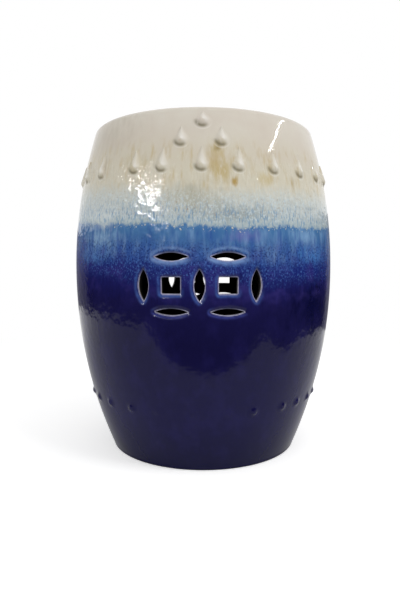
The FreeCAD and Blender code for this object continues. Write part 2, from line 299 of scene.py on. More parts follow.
def makeGlaze():
    made, tree = newMaterial("reactiveGlazedStoneware")
    seeds = glaze["seeds"]
    place = addNode(tree, "ShaderNodeTexCoord", {})["Object"]
    axes = addNode(tree, "ShaderNodeSeparateXYZ", {"Vector": place})
    height = addNode(tree, "ShaderNodeMath", {0: axes["Z"], 1: 1000.0}, operation="MULTIPLY")[0]

    # the height as the bands see it, pushed about by each sway
    squared = addNode(tree, "ShaderNodeMath", {0: axes["X"], 1: axes["X"]}, operation="MULTIPLY")[0]
    flow = addNode(tree, "ShaderNodeMath", {0: height, 1: glaze["lower"]}, operation="ADD")[0]
    for aside, slope in ((squared, -glaze["rise"]), (axes["X"], glaze["slope"])):
        flow = addNode(tree, "ShaderNodeMath", {0: aside, 1: slope, 2: flow}, operation="MULTIPLY_ADD")[0]
    for seed, (width, length, reach) in enumerate(glaze["sways"], start=seeds["sways"]):
        flow = swayedBy(tree, flow, place, width, length, reach, seed)
    away = addNode(tree, "ShaderNodeMath", {0: flow, 1: glaze["line"]}, operation="SUBTRACT")[0]
    away = addNode(tree, "ShaderNodeMath", {0: away}, operation="ABSOLUTE")[0]
    width, length, reach = glaze["fray"]
    reach = addNode(tree, "ShaderNodeMapRange", {
        "Value": away, "From Min": glaze["frayZone"][0], "From Max": glaze["frayZone"][1],
        "To Max": reach})[0]
    frayed = swayedBy(tree, flow, place, width, length, reach, seeds["fray"])

    low, high = glaze["bands"][0][0], glaze["bands"][-1][0]
    share = addNode(tree, "ShaderNodeMapRange", {"Value": frayed, "From Min": low, "From Max": high})[0]
    stops = [((level - low) / (high - low), code) for level, code in glaze["bands"]]
    colour = addNode(tree, "ShaderNodeValToRGB", {"Fac": share}, stops)[0]

    for seed, (what, tone, amount, turn, level, reach) in enumerate(glazeClouds, start=seeds["clouds"]):
        turn, level = math.radians(turn), level / 1000
        across, up = (r / 1000 for r in reach)
        radius = sideRadius(level)
        middle = (radius * math.sin(turn), -radius * math.cos(turn), level)
        apart = addNode(tree, "ShaderNodeVectorMath", {0: place, 1: middle}, operation="SUBTRACT")[0]
        apart = addNode(
            tree, "ShaderNodeVectorMath", {0: apart, 1: (across, across, up)}, operation="DIVIDE")[0]
        apart = addNode(tree, "ShaderNodeVectorMath", {0: apart}, operation="LENGTH")["Value"]
        grain = grainOf(tree, place, *glaze["cloudGrain"], seed)
        apart = addNode(tree, "ShaderNodeMath", {
            0: grain, 1: -glaze["cloudPush"], 2: apart}, operation="MULTIPLY_ADD")[0]
        mask = addNode(tree, "ShaderNodeMapRange", {
            "Value": apart, "From Min": glaze["cloudEdge"][0], "From Max": glaze["cloudEdge"][1]},
            interpolation_type="SMOOTHSTEP")[0]
        colour = layOver(tree, colour, mask, amount, tone, what)

    for seed, (what, tone, amount, size, cover, rise, fall) in enumerate(glazeLayers, start=seeds["layers"]):
        shown = addNode(tree, "ShaderNodeMapRange", {
            "Value": grainOf(tree, place, *size, seed), "From Min": cover[0], "From Max": cover[1]})[0]
        for none, full in (rise, fall[::-1]):
            zone = addNode(tree, "ShaderNodeMapRange", {
                "Value": flow, "From Min": none, "From Max": full}, interpolation_type="SMOOTHSTEP")[0]
            shown = addNode(tree, "ShaderNodeMath", {0: shown, 1: zone}, operation="MULTIPLY")[0]
        colour = layOver(tree, colour, shown, amount, tone, what)

    # the lips of the openings, which break to clay at the cut edge and carry painted light and painted
    # shade, and what stands proud, with its painted highlight and painted shade
    lip, cut, proud, pool = (
        addNode(tree, "ShaderNodeAttribute", {}, attribute_name=name)["Fac"] for name in storedValues)
    broken = {}
    for name in ("lip", "cut"):
        size = glaze[name + "Grain"]
        broken[name] = addNode(tree, "ShaderNodeMapRange", {
            "Value": grainOf(tree, place, size, size, seeds[name + "s"]), "To Min": glaze[name + "Left"],
            "From Min": glaze["brokenZone"][0], "From Max": glaze["brokenZone"][1]})[0]
    level = addNode(tree, "ShaderNodeMapRange", {
        "Value": height, "From Min": glaze["lipZone"][0], "From Max": glaze["lipZone"][1]})[0]
    tone = addNode(tree, "ShaderNodeValToRGB", {"Fac": level}, glaze["lipTones"])[0]
    # thin glaze with painted light on the lips, and a painted highlight above the top leaves
    mask = addNode(
        tree, "ShaderNodeMath", {0: lip, 1: broken["lip"]}, operation="MULTIPLY", use_clamp=True)[0]
    colour = layOver(tree, colour, mask, glaze["lipAmount"], tone, "thin glaze and painted light on lips")
    # painted shade along the openings' upper edges
    mask = addNode(tree, "ShaderNodeMath", {0: lip, 1: -1.0}, operation="MULTIPLY", use_clamp=True)[0]
    colour = layOver(tree, colour, mask, glaze["paintedShadeLipAmount"], glaze["paintedShadeLip"], "painted shade on upper lip edges")
    mask = addNode(tree, "ShaderNodeMath", {0: cut, 1: broken["cut"]}, operation="MULTIPLY")[0]
    colour = layOver(tree, colour, mask, glaze["cutAmount"], glaze["cutTone"], "clay at the cuts")
    # the drops' pale upper right is thin glaze with a painted highlight, and their dark lower left is pooled
    # glaze with painted shade
    above = addNode(tree, "ShaderNodeMapRange", {
        "Value": height, "From Min": glaze["proudZone"][0], "From Max": glaze["proudZone"][1]})[0]
    for name, value in (("proud", proud), ("pool", pool)):
        mask = addNode(tree, "ShaderNodeMath", {0: value, 1: above}, operation="MULTIPLY")[0]
        colour = layOver(tree, colour, mask, glaze[name + "Amount"], glaze[name + "Tone"], name)

    # the glaze's surface: waves and drips where it has run, almost none on the shoulder, and fine pits
    calm = addNode(tree, "ShaderNodeValToRGB", {"Fac": share}, glaze["calm"])[0]
    relief = {}
    for name in ("waves", "drips", "pits"):
        width, length, detail, deep = glaze[name]
        grain = grainOf(tree, place, width, length, seeds[name], detail)
        relief[name] = addNode(tree, "ShaderNodeMath", {0: grain, 1: deep}, operation="MULTIPLY")[0]
    runs = addNode(tree, "ShaderNodeMath", {0: relief["waves"], 1: relief["drips"]}, operation="ADD")[0]
    runs = addNode(tree, "ShaderNodeMath", {
        0: relief["pits"], 1: glaze["pitsInRuns"], 2: runs}, operation="MULTIPLY_ADD")[0]
    runs = addNode(tree, "ShaderNodeMath", {
        0: runs, 1: calm, 2: relief["pits"]}, operation="MULTIPLY_ADD")[0]
    bump = addNode(tree, "ShaderNodeBump", {"Height": runs, "Distance": 1.0, "Strength": 1.0})[0]
    haze = addNode(tree, "ShaderNodeMapRange", {
        "Value": height, "From Min": glaze["hazeZone"][0], "From Max": glaze["hazeZone"][1],
        "To Min": glaze["roughness"][0], "To Max": glaze["roughness"][1]})[0]
    shader = addNode(tree, "ShaderNodeBsdfPrincipled", {
        "Base Color": colour, "Normal": bump, "IOR": glaze["ior"], "Roughness": haze})[0]
    addNode(tree, "ShaderNodeOutputMaterial", {"Surface": shader})
    return made


# Unglazed fired stoneware: matt, sandy and a little uneven in tone. Along a cut it is lightest at the edge,
# and painted shade darkens it inwards to nearly black.
clay = {
    # sand grains and patches of tone in mm, and where their noise starts and stops to tell
    "sand": 1.2, "sandCover": (0.55, 0.75), "sandTone": "#2e2119", "sandAmount": 0.5,
    "patches": 25, "patchZone": (0.3, 0.7),
    "edgeZone": (0.95, 0.70),       # from the edge of a cut inwards, in the stored value
    "relief": 0.0006, "strength": 0.5, "ior": 1.45, "roughness": 0.85,
}


def makeClay(name, code, darkCode, shadeCode=None):
    made, tree = newMaterial(name)
    place = addNode(tree, "ShaderNodeTexCoord", {})["Object"]
    sand = grainOf(tree, place, clay["sand"], clay["sand"], 1)
    tone = grainOf(tree, place, clay["patches"], clay["patches"], 2)
    colour = addNode(
        tree, "ShaderNodeValToRGB", {"Fac": tone}, tuple(zip(clay["patchZone"], (code, darkCode))))[0]
    mask = addNode(tree, "ShaderNodeMapRange", {
        "Value": sand, "From Min": clay["sandCover"][0], "From Max": clay["sandCover"][1]})[0]
    colour = layOver(tree, colour, mask, clay["sandAmount"], clay["sandTone"], "sand")
    # painted shade deep inside a cut, darkening from the edge inwards
    if shadeCode:
        cut = addNode(tree, "ShaderNodeAttribute", {}, attribute_name="cut")["Fac"]
        mask = addNode(tree, "ShaderNodeMapRange", {
            "Value": cut, "From Min": clay["edgeZone"][0], "From Max": clay["edgeZone"][1]})[0]
        colour = layOver(tree, colour, mask, 1.0, shadeCode, "painted shade deep in a cut")
    bump = addNode(tree, "ShaderNodeBump", {
        "Height": sand, "Distance": clay["relief"], "Strength": clay["strength"]})[0]
    shader = addNode(tree, "ShaderNodeBsdfPrincipled", {
        "Base Color": colour, "Normal": bump, "IOR": clay["ior"], "Roughness": clay["roughness"]})[0]
    addNode(tree, "ShaderNodeOutputMaterial", {"Surface": shader})
    return made


# What the meshes store for the glaze, from -1 or 0 to 1
storedValues = ("lip", "cut", "proud", "pool")

glazeMaterial = makeGlaze()
insideClay = makeClay("bareStonewareInside", "#4a3628", "#3a2a20")
cutClay = makeClay("bareStonewareCut", "#a89e92", "#8b8074", "#120e0b")
footClay = makeClay("bareStonewareFoot", "#8a6a50", "#6d5140")
print("materials made")


# The barrel

def coordinates(mesh):
    flat = np.empty(len(mesh.vertices) * 3)
    mesh.vertices.foreach_get("co", flat)
    return flat.reshape(-1, 3)


def storeCoordinates(mesh, points):
    mesh.vertices.foreach_set("co", points.ravel())
    mesh.update()


def storeValues(mesh, **values):
    nothing = np.zeros(len(mesh.vertices))
    for name in storedValues:
        attribute = mesh.attributes.new(name, "FLOAT", "POINT")
        attribute.data.foreach_set("value", values.get(name, nothing).astype(np.float32))


# The turned outline in radius and height, from under the foot over the crown to inside the wall
def barrelOutline():
    outline = [(sideRadius(0, barrel["wall"]), 0.0)]
    bend = barrel["footRound"]
    for turn in range(-90, 0, 20):
        angle = math.radians(turn)
        outline.append((sideRadius(bend) - bend + bend * math.cos(angle), bend + bend * math.sin(angle)))
    bend = barrel["shoulderRound"]
    centre = barrel["seatEdge"] - bend
    first = sideLean(centre)
    last = math.pi / 2 - 2 * barrel["crownRise"] / sideRadius(centre)
    top = centre + bend * math.sin(first)
    rows = int((top - barrel["footRound"]) / barrel["rowStep"])
    for i in range(rows + 1):
        height = barrel["footRound"] + (top - barrel["footRound"]) * i / rows
        outline.append((sideRadius(height), height))
    middle = sideRadius(top) - bend * math.cos(first)
    for i in range(1, barrel["shoulderSteps"] + 1):
        angle = first + (last - first) * i / barrel["shoulderSteps"]
        outline.append((middle + bend * math.cos(angle), centre + bend * math.sin(angle)))
    reach, level = outline[-1]
    for i in range(1, barrel["crownSteps"] + 1):
        radius = reach * (1 - i / barrel["crownSteps"])
        outline.append((radius, level + (barrel["high"] - level) * (1 - (radius / reach) ** 2)))
    under = barrel["seatEdge"] - barrel["slab"]
    for i in range(barrel["slabSteps"] + 1):
        outline.append((sideRadius(under, barrel["wall"]) * i / barrel["slabSteps"], under))
    for i in range(1, barrel["insideSteps"] + 1):
        height = under * (1 - i / barrel["insideSteps"])
        outline.append((sideRadius(height, barrel["wall"]), height))
    return outline


# Radius of a leaf's two sides, and how far their centres lie beyond its middle line
def leafArc(length, width):
    radius = (length * length / 4 + width * width / 4) / width
    return radius, radius - width / 2


# Distance outside a pointed leaf, which is what two equal circles share
def leafDistance(along, across, length, width):
    radius, offset = leafArc(length, width)
    along, across = np.abs(along), np.abs(across)
    beside = (across + offset) * length / 2 >= along * offset
    return np.where(beside, np.hypot(along, across + offset) - radius, np.hypot(along - length / 2, across))


def squareDistance(along, across, width, rise, corner):
    x = np.abs(along) - width / 2 + corner
    y = np.abs(across) - rise / 2 + corner
    return np.hypot(np.maximum(x, 0), np.maximum(y, 0)) + np.minimum(np.maximum(x, y), 0) - corner


# Every hole: kind, turn of its middle and height of its middle
def openings():
    coin = math.degrees(panels["squareReach"] / barrel["bellyRadius"])
    outer = math.degrees(panels["uprightReach"] / barrel["bellyRadius"])
    found = []
    for panel in panels["turns"]:
        for turn in (-coin, coin):
            found.append(("square", panel + turn, panels["height"]))
            found.append(("top", panel + turn, panels["height"] + panels["topReach"]))
            found.append(("low", panel + turn, panels["height"] - panels["lowReach"]))
        for turn in (-outer, 0, outer):
            found.append(("upright", panel + turn, panels["height"]))
    return found


# How far each point on the wall lies outside the nearest opening, and which way it lies from that one
def rimDistance(points):
    turns = np.degrees(np.arctan2(points[:, 0], -points[:, 1]))
    nearest = np.full(len(points), panels["farAway"])
    toward = np.zeros((len(points), 2))
    for kind, turn, height in openings():
        offset = np.radians(signedTurn(turns - turn))
        along = np.where(
            np.abs(offset) < panels["nearSide"], np.sin(offset) * barrel["bellyRadius"], panels["farAway"])
        across = points[:, 2] - height
        if kind == "square":
            distance = squareDistance(
                along, across, panels["squareWidth"], panels["squareRise"], panels["squareCorner"])
            reach = panels["squareWidth"], panels["squareRise"]
        elif kind == "upright":
            distance = leafDistance(across, along, panels["uprightLength"], panels["uprightWidth"])
            reach = panels["uprightWidth"], panels["uprightLength"]
        else:
            distance = leafDistance(along, across, panels[kind + "Length"], panels[kind + "Width"])
            reach = panels[kind + "Length"], panels[kind + "Width"]
        closer = distance < nearest
        nearest[closer] = distance[closer]
        toward[closer] = np.column_stack((along / reach[0], across / reach[1]))[closer]
    toward /= np.maximum(np.hypot(toward[:, 0], toward[:, 1]), 1e-6)[:, None]
    return nearest, toward


# Corners of an opening's outline, one after another
def holeOutline(kind):
    points = []
    if kind == "square":
        corner, steps = panels["squareCorner"], panels["cornerSteps"]
        width, rise = panels["squareWidth"] / 2 - corner, panels["squareRise"] / 2 - corner
        for quarter, (x, y) in enumerate(((width, rise), (-width, rise), (-width, -rise), (width, -rise))):
            for i in range(steps + 1):
                angle = math.radians(90 * (quarter + i / steps))
                points.append((x + corner * math.cos(angle), y + corner * math.sin(angle)))
        return points
    length, steps = panels[kind + "Length"], panels["leafSteps"]
    radius, offset = leafArc(length, panels[kind + "Width"])
    reach = math.asin(length / 2 / radius)
    for sign in (1, -1):
        for i in range(steps):
            angle = reach * (1 - 2 * i / steps)
            points.append((sign * radius * math.sin(angle), sign * (radius * math.cos(angle) - offset)))
    return [(-y, x) for x, y in points] if kind == "upright" else points


# Starts a mesh from one point and draws it out along the outline
def extrudeOutline(outline):
    bpy.ops.mesh.primitive_plane_add(size=0.001)
    bpy.ops.object.mode_set(mode="EDIT")
    bpy.ops.mesh.select_mode(type="VERT")
    bpy.ops.mesh.select_all(action="SELECT")
    bpy.ops.mesh.merge(type="CENTER")
    bpy.ops.transform.translate(value=(outline[0][0], 0, outline[0][1]))
    for here, there in zip(outline, outline[1:]):
        bpy.ops.mesh.extrude_region_move(
            TRANSFORM_OT_translate={"value": (there[0] - here[0], 0, there[1] - here[1])})


# Turns every face outwards and leaves edit mode
def closeMesh():
    bpy.ops.mesh.select_all(action="SELECT")
    bpy.ops.mesh.normals_make_consistent(inside=False)
    bpy.ops.object.mode_set(mode="OBJECT")
    return bpy.context.object


def makeCutter(kind, turn, height):
    extrudeOutline(holeOutline(kind))
    bpy.ops.mesh.select_all(action="SELECT")
    bpy.ops.mesh.edge_face_add()
    bpy.ops.mesh.extrude_region_move(TRANSFORM_OT_translate={"value": (0, panels["cutterDepth"], 0)})
    cutter = closeMesh()
    outside = Matrix.Translation((0, -barrel["bellyRadius"] - panels["cutterStart"], height))
    cutter.data.transform(Matrix.Rotation(math.radians(turn), 4, "Z") @ outside)
    cutter.matrix_world = Matrix.Identity(4)
    return cutter


# Which points lie on the barrel's outer skin rather than inside it
def onSkin(points):
    skin = np.array([skinRadius(z) for z in points[:, 2]])
    return np.hypot(points[:, 0], points[:, 1]) > skin - barrel["wall"] / 2


# A thrown wall isn't quite round, nor its rim quite level
def unevenness(points):
    heights = points[:, 2]
    wave = np.array([noise.noise(Vector(p) / barrel["wobbleSize"]) for p in points])
    wave = (wave - barrel["wobbleIn"]) * barrel["wobble"]
    fade, top = barrel["wobbleFade"], barrel["wobbleTop"]
    wave = wave * np.clip(heights / fade, 0, 1) * np.clip((top - heights) / fade, 0, 1)
    share = np.clip((heights - barrel["tiltFrom"]) / (barrel["seatEdge"] - barrel["tiltFrom"]), 0, 1)
    right, back = barrel["tilt"]
    up = (points[:, 0] * right + points[:, 1] * back) * share ** 2
    return wave, np.minimum(up, np.maximum(barrel["high"] - heights, 0))


# Sinks the lips of the openings and gives the thrown wall its slight unevenness
def shapeBarrel(body):
    points = coordinates(body.data)
    radius = np.hypot(points[:, 0], points[:, 1])
    outside = onSkin(points)
    distance, _ = rimDistance(points)
    share = np.clip(1 - distance / panels["rimWidth"], 0, panels["rimOver"])
    sink = np.where(outside, panels["rimDepth"] * share ** 2, 0)
    wave, up = unevenness(points)
    change = np.where(outside, wave, 0) - sink
    scale = 1 + np.divide(
        change, radius, out=np.zeros_like(radius), where=radius > barrel["axisClear"])
    points[:, 0] *= scale
    points[:, 1] *= scale
    points[:, 2] = np.maximum(points[:, 2] + up, 0)
    storeCoordinates(body.data, points)


# Finer faces where the pierced panels are
def refinePanels(body):
    bpy.context.view_layer.objects.active = body
    bpy.ops.object.mode_set(mode="EDIT")
    bpy.ops.mesh.select_all(action="DESELECT")
    bpy.ops.mesh.select_mode(type="FACE")
    mesh = bmesh.from_edit_mesh(body.data)
    for face in mesh.faces:
        middle = face.calc_center_median()
        if math.hypot(middle.x, middle.y) < skinRadius(middle.z) - barrel["wall"] / 2:
            continue
        near = min(abs(signedTurn(turnOf(middle) - panel)) for panel in panels["turns"])
        face.select_set(near < panels["spread"] and abs(middle.z - panels["height"]) < panels["reach"])
    bmesh.update_edit_mesh(body.data)
    bpy.ops.mesh.subdivide(number_cuts=panels["finerCuts"])
    bpy.ops.object.mode_set(mode="OBJECT")


def selectPieces(*pieces):
    bpy.ops.object.select_all(action="DESELECT")
    for piece in pieces:
        piece.select_set(True)
    bpy.context.view_layer.objects.active = pieces[0]


def applyModifier(piece, kind, **settings):
    selectPieces(piece)
    modifier = piece.modifiers.new(kind.lower(), kind)
    for name, value in settings.items():
        setattr(modifier, name, value)
    bpy.ops.object.modifier_apply(modifier=modifier.name)


def joinPieces(pieces):
    selectPieces(*pieces)
    bpy.ops.object.join()
    return pieces[0]


def makeBarrel():
    extrudeOutline(barrelOutline())
    bpy.ops.mesh.select_all(action="SELECT")
    bpy.ops.mesh.spin(steps=barrel["segments"], angle=2 * math.pi, center=(0, 0, 0), axis=(0, 0, 1))
    bpy.ops.mesh.select_all(action="SELECT")
    bpy.ops.mesh.remove_doubles(threshold=barrel["mergeGap"])
    bpy.ops.mesh.select_all(action="SELECT")
    bpy.ops.mesh.delete_loose()
    body = closeMesh()
    body.name = "glazedBarrel"
    refinePanels(body)
    shapeBarrel(body)
    print("barrel turned:", len(body.data.vertices), "points")
    tool = joinPieces([makeCutter(*hole) for hole in openings()])
    applyModifier(body, "BOOLEAN", operation="DIFFERENCE", object=tool, solver="MANIFOLD")
    bpy.data.objects.remove(tool)
    print("openings cut:", len(body.data.polygons), "faces")
    finishBarrel(body)
    return body


# How much a direction counts: nothing up to the start, and from there by the slope, up to 1
def facing(direction, slope, start):
    return np.clip(direction * slope - start, 0, 1)


def bandAt(distance, middle, width):     # 1 at the middle, and soft to both sides
    return np.exp(-((distance - middle) / width) ** 2)


def finishBarrel(body):
    mesh = body.data
    mesh.materials.clear()
    for material in (glazeMaterial, insideClay, cutClay):
        mesh.materials.append(material)
    points = coordinates(mesh)
    heights = points[:, 2]
    distance, toward = rimDistance(points)
    outside = onSkin(points)
    # lighter blue shows on the lips a little below an opening, and further out to its left and above: thin
    # glaze with painted light below and to the left, and a painted highlight above
    below = facing(-toward[:, 1], *panels["below"])
    above = facing(toward[:, 1], *panels["above"])
    left = facing(-toward[:, 0], *panels["left"])
    narrow, wide = panels["thinAndPaintedLightWidths"]
    lip = below * bandAt(
        distance, panels["thinAndPaintedLightBelow"], np.where(heights > panels["widerFrom"], wide, narrow))
    reach, width, amount = panels["thinAndPaintedLightLeft"]
    lip += amount * left * bandAt(distance, reach, width)
    # a painted highlight above the top leaves
    reach, width, amount = panels["paintedHighlightAbove"]
    high = heights > panels["height"] + panels["topReach"]
    lip += amount * above * high * bandAt(distance, reach, width)
    # painted shade along every upper edge
    lip -= above * bandAt(distance, 0, panels["paintedShadeAbove"])
    # the pale clay at a cut is dimmed above an opening, as painted shade
    cut = np.clip(panels["cutFull"] - distance / panels["cutEdge"], 0, 1) * (
        1 - panels["cutInShade"] * above)
    storeValues(
        mesh, lip=np.where(outside, np.clip(lip, -1, 1), 0), cut=np.where(outside, cut, 0))
    under = barrel["seatEdge"] - barrel["slab"] + barrel["slabSlack"]
    low, high = panels["cutZone"]
    for face in mesh.polygons:
        middle = face.center
        deep = skinRadius(middle.z) - math.hypot(middle.x, middle.y)
        outward = Vector((middle.x, middle.y, 0)).normalized()
        edgeOn = abs(outward.dot(face.normal)) < panels["cutFacing"]
        inner = deep > barrel["wall"] * barrel["innerFrom"] and middle.z < under
        if edgeOn and deep > panels["cutFrom"] and low < middle.z < high:
            face.material_index = 2
        else:
            face.material_index = 1 if inner or middle.z < barrel["footFace"] else 0
    selectPieces(body)
    bpy.ops.object.shade_smooth_by_angle(angle=math.radians(barrel["smoothAngle"]))


barrelPiece = makeBarrel()
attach(barrelPiece, "root")
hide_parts("lower_wall", "upper_wall", "seat_top")
print("barrel done")


# Drops, bosses and studs, each a soft form luted onto the wall, with a skirt of glaze that runs out flat

luted = {
    "ring": {"low": 0.3524, "high": 0.3805, "half": 0.0070, "proud": 0.0035, "faces": (22, 36)},
    "pair": {"low": 0.3810, "high": 0.4035, "half": 0.0069, "proud": 0.0042, "faces": (22, 30)},
    "boss": {"low": 0.4030, "high": 0.4210, "half": 0.0076, "proud": 0.0042, "faces": (22, 26)},
    "stud": {"low": 0.0722, "high": 0.0838, "half": 0.0056, "proud": 0.0024, "faces": (14, 14)},
    "flooded": (-30, 18, 0.3),  # between these turns thick glaze leaves this share of a stud's height
    "studGap": 1.0,         # turn that parts two studs
    "tilt": 0.06,           # how far a drop may hang askew, in radians
    "skirt": 0.0045,        # how far the patch of glaze round a form runs on
    "depth": 0.0020,        # how deep the back of the patch lies in the wall
    "sink": 0.00012,        # how far the patch's edge dips under the wall's face
    "edge": 0.99,           # share of the way out at which that edge begins
    # a form's rise: how far out it is half down, how steeply it falls, and what is taken off it all
    "swell": (0.70, 3.6, 0.05),
    # a drop narrows to its tip by these powers, and there it has this half width and is this much lower
    "taper": (0.9, 0.8), "tipWidth": 0.0005, "tipRun": 0.0006, "tipLower": 0.72,
    # glaze pools dark along the outline at the lower left, with painted shade there: how far out, how wide,
    # and how it counts
    "pool": (0.95, 0.24), "poolTurn": 112, "poolFacing": (1.5, 0.25),
    # it has run thin off the upper right, which is pale with a painted highlight, though less so at the tip
    "thinAndHighlightTurn": 40, "thinAndHighlightFacing": (0.9, -0.3), "thinAndHighlightAtTip": 0.4,
    # and a pale line is painted below it, the glaze's edge with a painted glint
    "line": (1.42, 0.16), "edgeAndGlintFacing": (1.0, 0.2), "edgeAndGlintAmount": 0.6,
    "smoothAngle": 50,
}


def nodeTurn(name):
    low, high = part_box(name)
    return turnOf((low + high) / 2)


# Falls from 1 in the middle of a form through a fifth at its outline to nothing at the patch's edge
def swell(share):
    half, power, off = luted["swell"]
    return np.clip((1 + off) / (1 + (share / half) ** power) - off, 0, 1)


def makePatch(sizes, turn, tailed, tilt=0.0):
    half = sizes["half"]
    tall = (sizes["high"] - sizes["low"]) / 2
    middle = (sizes["high"] + sizes["low"]) / 2
    columns, rows = sizes["faces"]
    bpy.ops.mesh.primitive_grid_add(x_subdivisions=columns, y_subdivisions=rows, size=1)
    bpy.ops.object.mode_set(mode="EDIT")
    bpy.ops.mesh.select_all(action="SELECT")
    bpy.ops.mesh.extrude_region_move(TRANSFORM_OT_translate={"value": (0, 0, -1)})
    piece = closeMesh()
    points = coordinates(piece.data)
    back = points[:, 2] < -0.5
    # the grid's square is drawn in to an oval, so that no corner stands off the wall
    x, y = points[:, 0] * 2, points[:, 1] * 2
    across = x * np.sqrt(1 - y * y / 2) * (half + luted["skirt"])
    up = y * np.sqrt(1 - x * x / 2) * (tall + luted["skirt"])
    edge = np.maximum(np.abs(x), np.abs(y)) > luted["edge"]
    # share is how far out a point lies, with 1 at the outline, and above how near it is to the tip
    if tailed:
        bulb = half - tall
        above = np.clip((up - bulb) / (tall - bulb), 0, 1)
        narrowing, power = luted["taper"]
        width = half * (0.5 + 0.5 * np.cos(math.pi * above ** narrowing)) ** power + luted["tipWidth"]
        share = np.hypot(across / width, np.minimum(up - bulb, 0) / half)
        share = np.where(up > tall, np.hypot(across, up - tall) / luted["tipRun"] + 1, share)
    else:
        bulb = 0.0
        above = np.zeros_like(up)
        share = np.hypot(across, up) / half
    rise = swell(share) * (1 - luted["tipLower"] * above)
    stands = np.where(back, -luted["depth"], sizes["proud"] * rise - luted["sink"] * edge)
    angle = np.arctan2(up - bulb, across)
    # painted shade with pooled glaze at the lower left of the outline
    pool = bandAt(share, *luted["pool"]) * facing(
        np.cos(angle + math.radians(luted["poolTurn"])), *luted["poolFacing"])
    # thin glaze with a painted highlight on the upper right
    proud = rise * facing(np.cos(angle - math.radians(luted["thinAndHighlightTurn"])), *luted["thinAndHighlightFacing"])
    proud *= 1 - luted["thinAndHighlightAtTip"] * above
    # a pale line below: the glaze's edge with a painted glint
    line = bandAt(share, *luted["line"]) * facing(-np.sin(angle), *luted["edgeAndGlintFacing"])
    proud += luted["edgeAndGlintAmount"] * line
    tiltedUp = up * math.cos(tilt) + across * math.sin(tilt)
    tiltedAcross = across * math.cos(tilt) - up * math.sin(tilt)
    levels = middle + tiltedUp * math.cos(sideLean(middle))
    for i, (side, level, stand) in enumerate(zip(tiltedAcross, levels, stands)):
        lean = sideLean(level)
        radius = sideRadius(level)
        here = math.radians(turn) + side / radius
        reach = radius + stand * math.cos(lean)
        points[i] = (reach * math.sin(here), -reach * math.cos(here), level + stand * math.sin(lean))
    wave, lifted = unevenness(points)
    points[:, :2] *= 1 + (wave / np.hypot(points[:, 0], points[:, 1]))[:, None]
    points[:, 2] += lifted
    storeCoordinates(piece.data, points)
    storeValues(piece.data, proud=np.where(back, 0, proud), pool=np.where(back, 0, pool))
    piece.data.materials.append(glazeMaterial)
    bpy.ops.object.shade_smooth_by_angle(angle=math.radians(luted["smoothAngle"]))
    return piece


def makeDrop(node, kind):
    tilt = random.uniform(-luted["tilt"], luted["tilt"])
    piece = makePatch(luted[kind], nodeTurn(node), True, tilt)
    piece.name = node.replace("_", "-") + "-glazed"
    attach(piece, "root")
    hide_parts(node)


# Middles of the runs of turns that lie close together, round the whole circle
def groupTurns(turns, gap):
    runs = [[turns[0]]]
    for turn in turns[1:]:
        if turn - runs[-1][-1] > gap:
            runs.append([])
        runs[-1].append(turn)
    if runs[0][0] + 360 - runs[-1][-1] < gap:
        runs[0] = [t - 360 for t in runs.pop()] + runs[0]
    return [(min(run) + max(run)) / 2 for run in runs]


def makeStuds():
    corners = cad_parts["lower_studs"].data.vertices
    turns = groupTurns(sorted(turnOf(corner.co) for corner in corners), luted["studGap"])
    start, end, left = luted["flooded"]
    made = []
    for turn in turns:
        sizes = dict(luted["stud"])
        if start < signedTurn(turn) < end:
            sizes["proud"] *= left
        made.append(makePatch(sizes, turn, False))
    studs = joinPieces(made)
    studs.name = "lower-studs-glazed"
    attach(studs, "root")
    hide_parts("lower_studs")
    print("studs made:", len(turns))


for node in sorted(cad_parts):
    if node.startswith("ring_drop"):
        makeDrop(node, "ring")
    elif node.startswith("pair_drop"):
        makeDrop(node, "pair")
    elif node.startswith("crown_boss"):
        makeDrop(node, "boss")
makeStuds()
print("drops made")

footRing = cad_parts["foot_ring"]
footRing.data.materials.clear()
footRing.data.materials.append(footClay)


# Floor, light and surroundings

floorLook = {
    "size": 12.0, "colour": "#f4f4f4",
    # it glows this much for the camera, so that the stool's shadow is pale, and fades to white
    # between these distances
    "lift": 0.45, "fade": (0.45, 1.10),
}


# 1 for what the camera sees by itself, in a gloss or through something clear
def seenDirectly(tree, path):
    seen = addNode(tree, "ShaderNodeMath", {
        0: path["Is Camera Ray"], 1: path["Is Glossy Ray"]}, operation="MAXIMUM")[0]
    return addNode(tree, "ShaderNodeMath", {
        0: seen, 1: path["Is Transmission Ray"]}, operation="MAXIMUM")[0]


def makeFloor():
    bpy.ops.mesh.primitive_plane_add(size=floorLook["size"])
    floor = bpy.context.object
    floor.name = "floor"
    made, tree = newMaterial("paleFloor")
    path = addNode(tree, "ShaderNodeLightPath", {})
    place = addNode(tree, "ShaderNodeTexCoord", {})["Object"]
    reach = addNode(tree, "ShaderNodeVectorMath", {0: place}, operation="LENGTH")["Value"]
    fade = addNode(tree, "ShaderNodeMapRange", {
        "Value": reach, "From Min": floorLook["fade"][0], "From Max": floorLook["fade"][1]},
        interpolation_type="SMOOTHSTEP")[0]
    far = addNode(tree, "ShaderNodeMath", {0: seenDirectly(tree, path), 1: fade}, operation="MULTIPLY")[0]
    lift = addNode(tree, "ShaderNodeMath", {
        0: path["Is Camera Ray"], 1: path["Is Transmission Ray"]}, operation="MAXIMUM")[0]
    lift = addNode(tree, "ShaderNodeMath", {0: lift, 1: floorLook["lift"]}, operation="MULTIPLY")[0]
    matt = addNode(tree, "ShaderNodeBsdfDiffuse", {"Color": floorLook["colour"]})[0]
    lifted = addNode(tree, "ShaderNodeEmission", {"Color": "#ffffff", "Strength": lift})[0]
    near = addNode(tree, "ShaderNodeAddShader", {0: matt, 1: lifted})[0]
    white = addNode(tree, "ShaderNodeEmission", {"Color": "#ffffff", "Strength": 1.0})[0]
    mixed = addNode(tree, "ShaderNodeMixShader", {0: far, 1: near, 2: white})[0]
    addNode(tree, "ShaderNodeOutputMaterial", {"Surface": mixed})
    floor.data.materials.append(made)


